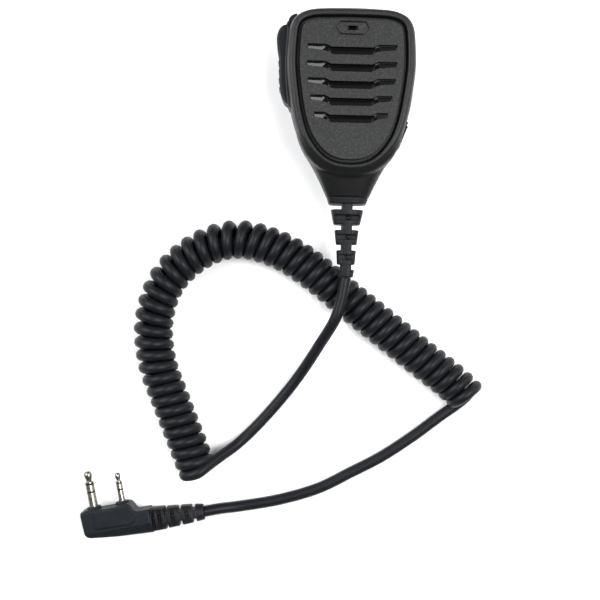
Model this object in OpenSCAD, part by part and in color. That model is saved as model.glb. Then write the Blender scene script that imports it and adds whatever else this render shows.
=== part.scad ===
// Hand microphone: a head with a push-to-talk button and a belt clip, a curly cord and a two-pin plug.
// Millimetres. X = 0 is the head's symmetry plane, Y = 0 the belt clip's swivel axis, and
// Z = 0 the outer face of the clip's jaw, on which the head rests with its grille facing up.

/* [Head] */
// Wall thickness of both housings
wall = 2; // [1.8:0.1:2.2]
// Height of the line where the front and rear housings meet
parting_z = 22; // [21.8:0.1:22.2]
// Width of the groove between the grille panel and the rim round it
groove = 1.1; // [0.9:0.1:1.3]
// Radius of the loudspeaker
speaker_r = 16; // [14:0.5:16]

/* [Push-to-talk] */
// Width of the button, across the head's thickness
button_w = 10; // [9:0.2:10.2]
// Radius of the pivots moulded on the button
pivot_r = 1; // [0.9:0.05:1.1]

/* [Belt clip] */
// Width of the clip's jaw
jaw_w = 17; // [16:0.5:19]
// Thickness of the clip's jaw
jaw_t = 1.8; // [1.6:0.1:2]
// Radius of the clip's hinge pin
clip_pin_r = 1.2; // [1:0.1:1.3]

/* [Earphone jack] */
// Radius of the jack's bore, for a 3.5 mm plug
jack_bore_r = 1.8; // [1.77:0.01:1.85]

/* [Cord and plug] */
// Diameter of the cord
cord_d = 4.5; // [4.3:0.1:4.5]
// Outer diameter of the cord's curly stretch
curl_d = 16; // [15:0.5:16]
// Length of the 3.5 mm pin
big_pin_length = 14.5; // [13.5:0.1:15]
// Length of the 2.5 mm pin
small_pin_length = 11.7; // [11:0.1:12]

/* [Hidden] */
$fn = 64;

// ---- heights in the head ----
back_z = 10.5;
front_wall_z = 31;
panel_seat_z = 33;
panel_top_z = 35.2;
rim_top_z = 35;
board_z = 17;
board_t = 1;
board_top_z = board_z + board_t;

// ---- outlines, as half-outlines (X, Y) from the top centre down, made smooth by a spline ----
head_points = [
  [4, 34.15], [10, 33.9], [15.5, 33.2], [20.2, 31.4], [23, 28.4], [24.2, 24], [24.9, 17], [25, 11],
  [24.5, 2], [23.2, -6], [21, -13.5], [18.2, -21], [14.8, -26.6], [12.3, -31], [10.2, -35.3], [8.2, -39.6]
];
panel_points = [
  [0, 27.4], [8, 27.3], [13, 27.1], [16.4, 26.4], [18.7, 24.8], [19.5, 21], [19.9, 12], [19.3, 4],
  [17.6, -7], [15.5, -14.5], [13.4, -18.8], [10.8, -22.6], [7.4, -25.3], [3.5, -26], [0, -26]
];
neck_end_y = -39.6;
// Where the head's cavity ends, above the cord's entry
cavity_end_y = -37.9;

// Height of the head's front and back surfaces along Y, as the ends and the neck slope away
front_heights = [
  [-39.6, 27.5], [-36, 29], [-32, 30.6], [-27, 32], [-20, 32.8], [22, 32.8], [27, 32.2], [30.2, 31],
  [31.7, 30], [33.3, 28.5], [34.2, 27]
];
back_heights = [
  [-39.6, 12.6], [-36, 12], [-30, 11], [-24, back_z], [27, back_z], [30, 11.4], [31.7, 12.6],
  [33.3, 14.5], [34.2, 17]
];

// ---- round and flat speaker parts ----
speaker_y = 3;
sound_hole_r = speaker_r - 1.5;
gasket_t = 0.7;
magnet_r = 9;
magnet_z = 19.5;
magnet_top_z = 25;
basket_z = 28.8;
mic_y = 23.9;
capsule_r = 3;
grommet_r = 4.2;

// ---- screws ----
case_screw_places = [[17, 25], [-17, 25], [11, -22.5], [-11, -22.5]];
case_screw_r = 1.3;
case_head_r = 2.3;
case_head_t = 1.4;
case_head_z = back_z + 1.2;
board_screw_places = [[16, 18], [-16, 18], [0, -24]];
board_screw_r = 1;

// ---- louvre slots: distance down from the first, half length ----
slot_top_y = 17.6;
slot_pitch = 6.48;
slot_half_lengths = [17.1, 17.2, 16.8, 15.7, 14.1];

// ---- push-to-talk ----
ptt_z = 22;
pivot = [-24.2, 26.8];
pivot_gap = 0.06;
post_y = 6.8;
post_r = 1.8;
plunger_r = 1.1;
plunger_tip_x = -21;
post_gap = 0.1;
frame_half = 6.6;
frame_inner_x = -21.2;
rib_places = [[-27.85, 12.2], [-27.65, 8.9], [-27.6, 5.6], [-27.3, 2.1]];

// ---- earphone jack, in its own frame: +X points out of the head, the origin is on its side wall ----
jack_place = [20, -16.5, 21.5];
jack_turn = -20.7;
jack_body_r = 3;
cover_hinge = [0.35, 5.3];

// ---- belt clip ----
clip_pin_y = 14;
clip_pin_z = 5.4;
clip_ear_r = 2.6;
ear_t = 1.4;
clip_plate_z = 8.4;
clip_plate_t = 1.5;
clip_plate_w = 16.4;
base_ear_x = 7.5;
jaw_ear_x = 5.6;
jaw_tip_y = -22;
jaw_tail_y = 24;
jaw_tip_z = 8.1;
shoulder_r = 2.95;
thread_r = 1.5;
hinge_gap = 0.06;

// ---- cord and plug ----
cord_r = cord_d / 2;
cord_z = 20;
relief_end_y = -70.7;
plug_z = 5.6;
plug_turn = 12;
plug_place = [-75.6, -170.4, plug_z];
relief_turn = 9.5;
// Route of the straight cord from the head to the curly stretch
mic_tail_route = [
  [0, -70.7, 20], [-1.5, -80, 19.6], [-4, -88, 18.4], [-9, -97, 12.5], [-15.5, -108, 6],
  [-22.5, -118, 2.8], [-32.5, -130, 2.5], [-41.5, -139, 3.4], [-49.5, -144.7, 8.6], [-53.6, -147.6, 12.2],
  [-57.5, -150.2, 13]
];
// Route of the middle of the curly stretch, from its head end to its plug end
curl_route = [
  [-57.3, -150.3, 8], [-59.3, -145.5, 8], [-62.5, -137.5, 8], [-68.5, -123, 8], [-75, -106, 8], [-76.5, -89, 8],
  [-71, -72.5, 8], [-58, -60.5, 8], [-43, -56, 8], [-26.5, -60, 8], [-11.5, -69, 8], [2.5, -80, 8], [17, -91, 8],
  [30, -101, 8], [44, -111.5, 8], [51.3, -118.1, 8]
];
// Route of the straight cord from the curly stretch to the plug
plug_tail_route = [
  [52.8, -115.5, 4.5], [51.2, -118.3, 2.6], [46.4, -122.2, 2.3], [40.5, -126.5, 2.3], [29.5, -135, 2.3],
  [17, -143.5, 2.3], [5, -150, 2.3], [-8.5, -157, 2.3], [-24.5, -162, 2.3], [-40.5, -165, 2.6],
  [-48, -165.8, 4.2], [-54.8, -166.9, 5.6], [-57.1, -167.3, 5.6]
];

// ---- functions ----
// A point of the spline through b and c, with a and d as their neighbours
function spline_point(a, b, c, d, t) =
  0.5 * (2 * b + (c - a) * t + (2 * a - 5 * b + 4 * c - d) * t * t + (3 * b - a - 3 * c + d) * t * t * t);
// The points with each gap split into steps along the spline
function smooth(p, steps) = concat(
  [
    for (i = [0:len(p) - 2], s = [0:steps - 1])
      spline_point(p[max(i - 1, 0)], p[i], p[i + 1], p[min(i + 2, len(p) - 1)], s / steps)
  ],
  [p[len(p) - 1]]
);
function reversed(p) = [for (i = [len(p) - 1:-1:0]) p[i]];
function mirrored(p) = [for (q = reversed(p)) [-q[0], q[1]]];
// A whole outline from its right half
function whole(half) = concat(half, [for (q = mirrored(half)) if (q[0] < -0.001) q]);
function unit(v) = v / norm(v);
// The outline moved out along its normals by d
function grown(p, d) = [
  for (i = [0:len(p) - 1])
    let (n = len(p), t = unit(p[(i + 1) % n] - p[(i + n - 1) % n])) p[i] + d * [-t[1], t[0]]
];
function at_height(p, z) = [for (q = p) [q[0], q[1], z]];
// A quarter of a rounded section: half width w, height h, from the side up to the middle
function quarter(w, h, n, steps) = [
  for (k = [0:steps]) let (t = 90 * k / steps) [w * pow(cos(t), 2 / n), h * pow(sin(t), 2 / n)]
];
// A half section across the head at y, standing on the parting line; rise is negative for the back
function head_section(w, rise, y, n) = concat(
  [for (q = quarter(w, rise, n, 7)) [q[0], y, parting_z + q[1]]],
  [for (q = reversed(quarter(w, rise, n, 7))) if (q[0] > 0.001) [-q[0], y, parting_z + q[1]]]
);
// A whole oval section at y, centred on z
function oval_section(w, h, n, y, z) = [
  for (k = [0:23])
    let (t = 15 * k, c = cos(t), s = sin(t))
      [sign(c) * w * pow(abs(c), 2 / n), y, z + sign(s) * h * pow(abs(s), 2 / n)]
];
// Direction of a route at its point i
function heading(p, i) = unit(p[min(i + 1, len(p) - 1)] - p[max(i - 1, 0)]);
// A ring of a tube round the route at its point i, flat side down
function tube_ring(p, i, r, sides) =
  let (t = heading(p, i), side = unit(cross(t, [0, 0, 1])), up = cross(side, t), rr = r / cos(180 / sides))
    [for (k = [0:sides - 1]) let (a = 360 * (k + 0.5) / sides) p[i] + rr * (cos(a) * side + sin(a) * up)];

// ---- general shapes ----
// A closed solid through rings of points, all with the same number of points
module loft(rings) {
  n = len(rings[0]);
  m = len(rings);
  polyhedron(
    points = [for (r = rings) each r],
    faces = concat(
      [[for (k = [0:n - 1]) k]],
      [
        for (j = [0:m - 2], k = [0:n - 1], half = [0, 1])
          let (a = j * n + k, b = j * n + (k + 1) % n)
            half == 0 ? [a, a + n, b] : [b, a + n, b + n]
      ],
      [[for (k = [n - 1:-1:0]) (m - 1) * n + k]]
    ),
    convexity = 6
  );
}
module tube_along(p, r, sides) {
  loft([for (i = [len(p) - 1:-1:0]) tube_ring(p, i, r, sides)]);
}
module bar(x0, x1, y0, y1, z0, z1) {
  translate([x0, y0, z0]) cube([x1 - x0, y1 - y0, z1 - z0]);
}
// A cylinder standing on z0
module post(x, y, z0, z1, r) {
  translate([x, y, z0]) cylinder(h = z1 - z0, r = r);
}
module ring(x, y, z0, z1, r_out, r_in) {
  difference() {
    post(x, y, z0, z1, r_out);
    post(x, y, z0 - 1, z1 + 1, r_in);
  }
}
// A cylinder along X, from x0 to x1
module axle(x0, x1, y, z, r) {
  translate([x0, y, z]) rotate([0, 90, 0]) cylinder(h = x1 - x0, r = r);
}
// A plate with round corners, as four cylinders and two blocks
module round_plate(x0, x1, y0, y1, z0, z1, r) {
  bar(x0 + r, x1 - r, y0, y1, z0, z1);
  bar(x0, x1, y0 + r, y1 - r, z0, z1);
  for (x = [x0 + r, x1 - r], y = [y0 + r, y1 - r]) post(x, y, z0, z1, r);
}

// ---- the head's shells ----
head_half = smooth(head_points, 2);
panel_outline = whole(smooth(panel_points, 2));
module head_front(inset, y_min, y_max) {
  loft([
    for (q = head_half)
      if (q[1] <= y_max && q[1] >= y_min)
        head_section(q[0] - inset, lookup(q[1], front_heights) - parting_z - inset, q[1], 3.4)
  ]);
}
module head_back(inset, y_min, y_max) {
  loft([
    for (q = reversed(head_half))
      if (q[1] <= y_max && q[1] >= y_min)
        head_section(q[0] - inset, lookup(q[1], back_heights) - parting_z + inset, q[1], 4)
  ]);
}
// The raised shield that carries the rim round the grille panel
module shield() {
  loft([
    at_height(grown(panel_outline, groove + 1.1), rim_top_z),
    at_height(grown(panel_outline, groove + 1.7), 34.8),
    at_height(grown(panel_outline, groove + 2.3), 34),
    at_height(grown(panel_outline, groove + 3.1), 30.5),
    at_height(grown(panel_outline, groove + 3.6), 26)
  ]);
}
module ptt_notch() {
  bar(-32, -20.9, -6, 31.2, ptt_z - frame_half - 0.15, ptt_z + frame_half + 0.15);
}
// A place in the jack's own frame
module at_jack() {
  translate(jack_place) rotate([0, 0, jack_turn]) children();
}
module jack_cuts() {
  at_jack() {
    bar(-1, 4, -6.2, 6.8, -4.9, 4.9);
    axle(-6, 2, 0, 0, jack_body_r + 0.1);
    bar(-2.6, 2, 6.3, 8.1, -2.6, 2.6);
  }
}
module relief_window() {
  bar(-4.7, 4.7, -41, -36, cord_z - 4.7, cord_z + 4.7);
}

module front_housing() {
  color([0.09, 0.095, 0.11])
    difference() {
      union() {
        difference() {
          union() {
            head_front(0, neck_end_y, 40);
            shield();
          }
          head_front(wall, cavity_end_y, 31.6);
          translate([0, 0, parting_z - 1])
            linear_extrude(front_wall_z - parting_z + 1) polygon(grown(panel_outline, 0.8));
          bar(-40, 40, -60, 60, parting_z - 6, parting_z);
        }
        for (p = case_screw_places) post(p[0], p[1], parting_z, front_wall_z + 0.5, 3);
      }
      translate([0, 0, panel_seat_z]) linear_extrude(5) polygon(grown(panel_outline, groove));
      post(0, speaker_y, front_wall_z - 3, panel_seat_z + 1, sound_hole_r);
      post(0, speaker_y, panel_seat_z - 0.4, panel_seat_z + 1, speaker_r + 1);
      post(0, mic_y, front_wall_z - 1, panel_seat_z + 1, 1.4);
      for (p = case_screw_places) post(p[0], p[1], parting_z - 1, 28.2, case_screw_r);
      ptt_notch();
      jack_cuts();
      relief_window();
    }
}

// One louvre slot in its own frame, with its top line on Y = 0
module slot_outline(l) {
  polygon([
    [-l, 0], [-10.1, 0], [-8, -1.05], [8, -1.05], [10.1, 0], [l, 0],
    [l, -1.75], [10, -2.45], [7.3, -3.8], [-7.3, -3.8], [-10, -2.45], [-l, -1.75]
  ]);
}
module grille_panel() {
  color([0.30, 0.31, 0.33])
    difference() {
      translate([0, 0, panel_seat_z]) linear_extrude(panel_top_z - panel_seat_z) polygon(panel_outline);
      for (i = [0:4])
        translate([0, slot_top_y - i * slot_pitch, panel_seat_z + 0.8])
          linear_extrude(4) slot_outline(slot_half_lengths[i]);
      for (i = [0:4])
        bar(-9, 9, slot_top_y - i * slot_pitch - 2.2, slot_top_y - i * slot_pitch - 1.1,
          panel_seat_z - 1, panel_top_z);
      translate([0, 0, panel_top_z - 0.3])
        linear_extrude(2)
          polygon([[-4.4, 21.5], [4.4, 21.5], [6.3, 24], [4.9, 26.3], [-4.9, 26.3], [-6.3, 24]]);
      bar(-1.93, 1.93, mic_y - 0.8, mic_y + 0.8, panel_seat_z - 1, panel_top_z + 1);
    }
}

module rear_housing() {
  color([0.075, 0.08, 0.095])
    difference() {
      union() {
        difference() {
          head_back(0, neck_end_y, 40);
          head_back(wall, cavity_end_y, 31.6);
          bar(-40, 40, -60, 60, parting_z, parting_z + 6);
        }
        for (p = case_screw_places) post(p[0], p[1], back_z + 0.5, parting_z, 3.2);
        for (p = board_screw_places) post(p[0], p[1], back_z + 0.5, board_z, 2.5);
        post(0, 0, back_z + 0.5, board_z - 0.6, 5);
      }
      for (p = case_screw_places) {
        post(p[0], p[1], back_z - 1, case_head_z + case_head_t, case_head_r + 0.2);
        post(p[0], p[1], back_z - 1, parting_z + 1, case_screw_r + 0.15);
      }
      for (p = board_screw_places) post(p[0], p[1], back_z + wall + 0.6, board_z + 1, board_screw_r);
      post(0, 0, back_z - 1, back_z + 5.2, thread_r + 0.9);
      ptt_notch();
      jack_cuts();
      relief_window();
    }
}

module case_screws() {
  color([0.35, 0.35, 0.36])
    for (p = case_screw_places)
      difference() {
        union() {
          post(p[0], p[1], case_head_z, case_head_z + case_head_t, case_head_r);
          post(p[0], p[1], case_head_z, 27.4, case_screw_r);
        }
        translate([p[0], p[1], case_head_z]) cube([3, 0.7, 1.6], center = true);
        translate([p[0], p[1], case_head_z]) cube([0.7, 3, 1.6], center = true);
      }
}

// ---- push-to-talk ----
frame_points = [
  [frame_inner_x, 30.8], [-22.4, 30.5], [-23.7, 29.7], [-24.6, 28], [-25.3, 22], [-25.7, 13], [-25.4, 5],
  [-24.7, -1.5], [-24, -4.6], [-23.1, -5.8], [frame_inner_x, -5.8]
];
button_points = [
  [-25.5, 26.8], [-26.4, 26.6], [-27.2, 26.1], [-28.2, 24.8], [-28.9, 22.6], [-29, 20.5], [-28.7, 17.5], [-28.1, 14.5],
  [-27.9, 11], [-27.7, 5], [-27.2, 1], [-26.4, -1.6], [-25.4, -3.3], [-24.4, -4]
];
module ptt_frame() {
  color([0.07, 0.075, 0.09])
    difference() {
      translate([0, 0, ptt_z - frame_half]) linear_extrude(2 * frame_half) polygon(smooth(frame_points, 2));
      bar(-40, -10, -4.7, 28.8, ptt_z - button_w / 2 - 0.3, ptt_z + button_w / 2 + 0.3);
      post(pivot[0], pivot[1], ptt_z - 10, ptt_z + 10, pivot_r + pivot_gap);
    }
}
module ptt_button() {
  color([0.07, 0.08, 0.11]) {
    translate([0, 0, ptt_z - button_w / 2])
      linear_extrude(button_w) polygon(concat([[-22.9, 28.2], [-24.9, 28.2]], smooth(button_points, 3), [[-22.9, -4]]));
    for (p = rib_places) post(p[0], p[1], ptt_z - button_w / 2 + 0.6, ptt_z + button_w / 2 - 0.6, 0.75);
    post(pivot[0], pivot[1], ptt_z - frame_half + 0.3, ptt_z + frame_half - 0.3, pivot_r);
    axle(-23.5, plunger_tip_x - post_gap, post_y, ptt_z, post_r);
  }
}
module ptt_switch() {
  color([0.12, 0.12, 0.13])
    difference() {
      union() {
        bar(-19.6, -14, 3.8, 9.8, board_top_z, board_top_z + 6.4);
        for (y = [4.4, 6.3, 8.2]) bar(-14.2, -13, y, y + 0.8, board_top_z, board_top_z + 1.2);
      }
      axle(-20, -17, post_y, ptt_z, plunger_r + 0.06);
    }
}
module ptt_plunger() {
  color([0.75, 0.12, 0.1]) axle(plunger_tip_x, -18.4, post_y, ptt_z, plunger_r);
}

// ---- loudspeaker, seen from its magnet up to the grille ----
module grille_cloth() {
  color([0.03, 0.03, 0.03]) post(0, speaker_y, panel_seat_z - 0.4, panel_seat_z - 0.05, speaker_r + 0.9);
}
module speaker_gasket() {
  color([0.1, 0.1, 0.1])
    ring(0, speaker_y, front_wall_z - gasket_t, front_wall_z, speaker_r, sound_hole_r);
}
module speaker_frame() {
  rim_z = front_wall_z - gasket_t;
  color([0.6, 0.6, 0.58])
    translate([0, speaker_y, 0])
      rotate_extrude()
        polygon([
          [magnet_r - 3, magnet_top_z], [magnet_r + 1, magnet_top_z], [speaker_r - 1.2, basket_z],
          [speaker_r, basket_z], [speaker_r, rim_z], [speaker_r - 2, rim_z], [speaker_r - 2.2, basket_z + 0.7],
          [magnet_r, magnet_top_z + 0.7], [magnet_r - 3, magnet_top_z + 0.7]
        ]);
}
module speaker_cone() {
  color([0.05, 0.05, 0.05])
    translate([0, speaker_y, 0])
      rotate_extrude()
        polygon([
          [0, 27.6], [2.5, 27.1], [3.4, 26.4], [3.4, magnet_top_z + 0.9], [3.7, magnet_top_z + 0.9],
          [3.7, 26.5], [speaker_r - 3.6, 29.3], [speaker_r - 2.9, 29.9], [speaker_r - 2.2, 29.6],
          [speaker_r - 2.2, 30.2], [speaker_r - 2.9, 30.3], [speaker_r - 3.8, 29.7], [3.6, 27], [2.6, 27.5],
          [0, 28]
        ]);
}
module speaker_magnet() {
  color([0.25, 0.25, 0.26])
    difference() {
      union() {
        post(0, speaker_y, magnet_z, magnet_z + 1.2, magnet_r - 0.6);
        post(0, speaker_y, magnet_z + 1.2, magnet_top_z - 1, magnet_r);
        post(0, speaker_y, magnet_top_z - 1, magnet_top_z, magnet_r - 0.6);
      }
      ring(0, speaker_y, magnet_z + 2, magnet_top_z + 1, 4.2, 3.1);
    }
}
module mic_grommet() {
  color([0.06, 0.06, 0.06])
    difference() {
      post(0, mic_y, 27.6, front_wall_z, grommet_r);
      post(0, mic_y, 26, front_wall_z - 0.6, capsule_r);
      post(0, mic_y, 26, front_wall_z + 1, 1.6);
    }
}
module mic_capsule() {
  color([0.7, 0.7, 0.68])
    difference() {
      post(0, mic_y, 27.7, front_wall_z - 0.6, capsule_r);
      post(0, mic_y, front_wall_z - 0.8, front_wall_z, 0.8);
    }
}

// ---- circuit board ----
module circuit_board() {
  color([0.05, 0.25, 0.12])
    difference() {
      translate([0, 0, board_z])
        linear_extrude(board_t)
          polygon([
            [-13.5, 29.5], [13.5, 29.5], [13.5, 21.5], [19.5, 21.5], [19.5, -8], [14.5, -17.5], [7.2, -19],
            [7.2, -29], [-7.2, -29], [-7.2, -19], [-14.5, -17.5], [-19.5, -8], [-19.5, 21.5], [-13.5, 21.5]
          ]);
      for (p = board_screw_places) post(p[0], p[1], board_z - 1, board_top_z + 1, board_screw_r);
    }
}
module board_components() {
  color([0.1, 0.1, 0.1]) {
    bar(-12, -6, -16, -10, board_top_z, board_top_z + 1.1);
    bar(-4, 1, -19, -15, board_top_z, board_top_z + 1);
    bar(10, 15, 8, 12, board_top_z, board_top_z + 1);
    for (x = [-9, -4, 1, 6]) bar(x, x + 2, 24.5, 25.7, board_top_z, board_top_z + 0.8);
    for (y = [-4, 0, 14]) bar(12, 14, y, y + 1.2, board_top_z, board_top_z + 0.8);
    post(-13.5, -2, board_top_z, board_top_z + 5, 2.2);
    post(12.5, 16.5, board_top_z, board_top_z + 5, 1.6);
    bar(-6, 6, -28.6, -26.4, board_top_z, board_top_z + 3.4);
    bar(2, 5, 18.5, 20.7, board_top_z, board_top_z + 3);
  }
}
module board_screws() {
  color([0.7, 0.7, 0.7])
    for (p = board_screw_places) {
      post(p[0], p[1], board_top_z, board_top_z + 1.1, 1.9);
      post(p[0], p[1], back_z + wall + 1.2, board_top_z + 0.5, board_screw_r);
    }
}

// ---- earphone jack and its cover ----
module jack_socket() {
  color([0.05, 0.05, 0.055])
    at_jack()
      difference() {
        union() {
          bar(-13, -3.2, -3.5, 3.5, board_top_z - jack_place[2], 3.4);
          axle(-3.4, -1.2, 0, 0, jack_body_r);
        }
        axle(-12, -1, 0, 0, jack_bore_r);
        axle(-2.6, -1, 0, 0, 2.25);
      }
}
module jack_cover() {
  color([0.04, 0.04, 0.045])
    at_jack() {
      bar(-0.4, 0.9, -5.8, 4.4, -3.4, 3.4);
      bar(-0.4, 0.9, -4.7, 4.4, -4.5, 4.5);
      for (z = [-3.4, 3.4]) axle(-0.4, 0.9, -4.7, z, 1.1);
      bar(-0.2, 0.9, 4.3, cover_hinge[1], -3.2, 3.2);
      post(cover_hinge[0], cover_hinge[1], -3.2, 3.2, 0.55);
      axle(-2.2, -0.2, 0, 0, 1.6);
    }
}
module jack_cover_root() {
  color([0.04, 0.04, 0.045])
    at_jack() {
      bar(-2.4, 0.4, 6.35, 7.6, -2.5, 2.5);
    }
}

// ---- wires and cable in the head ----
// Each wire: start at the cable's end, height of its arch, end point
wires = [
  [[-1.2, -33.2, 20.8], 25, [-4.5, -27.5, 21.6]],
  [[-0.4, -33.2, 20.8], 25.5, [-1.6, -27.5, 21.6]],
  [[0.4, -33.2, 20.8], 25.5, [1.6, -27.5, 21.6]],
  [[1.2, -33.2, 20.8], 25, [4.5, -27.5, 21.6]],
  [[2.6, 19.6, 21.2], 24, [8.4, 10.6, 25.6]],
  [[4.4, 19.6, 21.2], 23.5, [10.8, 6.8, 25.6]],
  [[-3, 25.1, 19], 24, [-1, 24.5, 27.5]],
  [[2, 25.1, 19], 24, [1, 24.5, 27.5]]
];
module lead_wires() {
  color([0.55, 0.1, 0.08])
    for (w = wires) {
      middle = (w[0] + w[2]) / 2;
      lift = [middle[0], middle[1], w[1]];
      tube_along(smooth([w[0], (w[0] + lift) / 2 + [0, 0, 0.6], lift, (w[2] + lift) / 2, w[2]], 2), 0.3, 6);
    }
}
module cable_end() {
  color([0.03, 0.03, 0.035]) translate([0, -33, cord_z]) rotate([90, 0, 0]) cylinder(h = 37.7, r = cord_r);
}
module cable_tie() {
  color([0.85, 0.85, 0.82])
    difference() {
      union() {
        translate([0, -33.4, cord_z]) rotate([90, 0, 0]) cylinder(h = 1.6, r = cord_r + 0.9);
        bar(-1.8, 1.8, -35.1, -33.3, cord_z + cord_r + 0.2, cord_z + cord_r + 2.8);
      }
      translate([0, -30, cord_z]) rotate([90, 0, 0]) cylinder(h = 8, r = cord_r);
    }
}

// ---- belt clip ----
module clip_insert() {
  color([0.75, 0.6, 0.3]) ring(0, 0, back_z + 0.1, back_z + 5, thread_r + 0.85, thread_r);
}
module clip_washer() {
  color([0.8, 0.8, 0.78]) ring(0, 0, clip_plate_z + clip_plate_t + 0.1, back_z - 0.02, 7, shoulder_r + 0.05);
}
module clip_screw() {
  color([0.7, 0.7, 0.7])
    difference() {
      union() {
        post(0, 0, clip_plate_z - 1.2, clip_plate_z - 0.1, 4.6);
        post(0, 0, clip_plate_z - 0.2, back_z - 0.02, shoulder_r);
        post(0, 0, clip_plate_z, back_z + 4.6, thread_r);
      }
      translate([0, 0, clip_plate_z - 1.2]) cube([5, 0.9, 1.4], center = true);
      translate([0, 0, clip_plate_z - 1.2]) cube([0.9, 5, 1.4], center = true);
    }
}
// A round ear about the hinge pin, from x0 to x1, joined to the plate at height z
module ear(x0, x1, z) {
  axle(x0, x1, clip_pin_y, clip_pin_z, clip_ear_r);
  bar(x0, x1, clip_pin_y - clip_ear_r, clip_pin_y + clip_ear_r, min(z, clip_pin_z), max(z, clip_pin_z));
}
module clip_base() {
  color([0.09, 0.09, 0.10])
    difference() {
      union() {
        round_plate(-clip_plate_w / 2, clip_plate_w / 2, -21.5, 19, clip_plate_z, clip_plate_z + clip_plate_t, 4);
        post(0, 0, clip_plate_z, clip_plate_z + clip_plate_t, 10);
        for (side = [-1, 1])
          ear(side * base_ear_x - ear_t / 2, side * base_ear_x + ear_t / 2, clip_plate_z + 0.5);
      }
      post(0, 0, clip_plate_z - 1, back_z + 1, shoulder_r + hinge_gap);
      axle(-12, 12, clip_pin_y, clip_pin_z, clip_pin_r);
    }
}
module clip_pin() {
  color([0.75, 0.75, 0.76]) axle(-base_ear_x - 0.9, base_ear_x + 0.9, clip_pin_y, clip_pin_z, clip_pin_r);
}
module clip_spring() {
  color([0.6, 0.6, 0.62]) {
    difference() {
      axle(-4.4, 4.4, clip_pin_y, clip_pin_z, 2.3);
      axle(-5, 5, clip_pin_y, clip_pin_z, 1.6);
    }
    for (side = [-1, 1])
      translate([side * 4, clip_pin_y, clip_pin_z])
        rotate([side < 0 ? -68 : -109, 0, 0])
          translate([0, 0, 1.9]) cylinder(h = side < 0 ? 4.4 : 6.5, r = 0.35);
  }
}
module clip_jaw() {
  color([0.09, 0.09, 0.10])
    difference() {
      union() {
        round_plate(-jaw_w / 2, jaw_w / 2, jaw_tip_y, jaw_tail_y, 0, jaw_t, 4);
        for (side = [-1, 1]) ear(side * jaw_ear_x - ear_t / 2, side * jaw_ear_x + ear_t / 2, jaw_t - 0.5);
        bar(-jaw_w / 2 + 4, jaw_w / 2 - 4, jaw_tip_y, jaw_tip_y + 1.8, 0.5, jaw_tip_z);
        for (y = [19.2, 21, 22.8]) bar(-5.5, 5.5, y - 0.3, y + 0.3, jaw_t - 0.5, jaw_t + 0.4);
      }
      axle(-12, 12, clip_pin_y, clip_pin_z, clip_pin_r + hinge_gap);
    }
}

// ---- cord ----
// A tapered segment of a relief along -Y, with oval ends: [y, half width, half height]
module tapered(a, b, n, z) {
  loft([oval_section(a[1], a[2], n, a[0], z), oval_section(b[1], b[2], n, b[0], z)]);
}
module strain_relief() {
  color([0.05, 0.05, 0.055])
    difference() {
      union() {
        bar(-5.6, 5.6, -37.4, -35.4, cord_z - 4.4, cord_z + 4.4);
        bar(-4.6, 4.6, -39.8, -37, cord_z - 4.6, cord_z + 4.6);
        tapered([-39.65, 8.1, 7.3], [-42.1, 7.3, 6.6], 3.4, cord_z);
        tapered([-42, 2, 6.4], [-70.7, 2, 2.9], 6, cord_z);
        tapered([-44.3, 6.4, 6], [-50.1, 5.2, 5.2], 3, cord_z);
        tapered([-52.2, 4.8, 4.7], [-57.9, 4.1, 4.2], 3, cord_z);
        tapered([-60.1, 3.9, 3.9], [-65.7, 3.5, 3.5], 3, cord_z);
        tapered([-67.7, 3.4, 3.4], [relief_end_y, 2.9, 2.9], 2.2, cord_z);
      }
      for (s = [[-46.4, -48.5, 4.4], [-54, -56, 3.3], [-61.9, -64, 2.7]], side = [-1, 1])
        bar(-s[2], s[2], s[1], s[0], cord_z + (side > 0 ? 2.75 : -9), cord_z + (side > 0 ? 9 : -2.75));
      translate([0, -30, cord_z]) rotate([90, 0, 0]) cylinder(h = 45, r = cord_r);
    }
}
module mic_tail() {
  color([0.03, 0.03, 0.035]) tube_along(mic_tail_route, cord_r, 10);
}
module curl() {
  color([0.04, 0.04, 0.045]) tube_along(smooth(curl_route, 2), curl_d / 2, 12);
}
module plug_tail() {
  color([0.03, 0.03, 0.035]) tube_along(plug_tail_route, cord_r, 10);
}

// ---- plug, in its own frame: +X towards the cord, +Y along the pins, Z up, the origin at its neck ----
module at_plug(turn) {
  translate(plug_place) rotate([0, 0, turn]) children();
}
// Each pin: its place along X, the height of its collar above the body's edge, its radius and length
big_pin_x = -22.6;
small_pin_x = -10.8;
collar_r = 2.75;
collar_top_y = 9.5;
// Where a pin's stretches end, as shares of its length: sleeve, first insulator, ring, second insulator,
// and the tip's straight part
sleeve_y = 0.39;
ring_y = 0.43;
ring_end_y = 0.615;
tip_y = 0.655;
straight_y = 0.69;
plug_core_r = 2.35;
module plug_relief() {
  color([0.05, 0.05, 0.055])
    at_plug(relief_turn)
      rotate([0, 0, 90])
        difference() {
          union() {
            tapered([0.6, 4.9, 4.9], [-5.5, 4.6, 4.7], 3, 0);
            tapered([-6.5, 4.4, 4.5], [-10.9, 4.1, 4.2], 3, 0);
            tapered([-12.2, 4, 4.1], [-16.4, 3.7, 3.8], 3, 0);
            tapered([-17.9, 3.6, 3.6], [-21.1, 3.2, 3.2], 2.2, 0);
            tapered([0, 2, 4.6], [-18, 2, 3.6], 6, 0);
            rotate([90, 0, 0]) cylinder(h = 18.4, r = plug_core_r);
          }
          translate([0, -18.4, 0]) rotate([90, 0, 0]) cylinder(h = 5, r = cord_r);
        }
}
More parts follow.
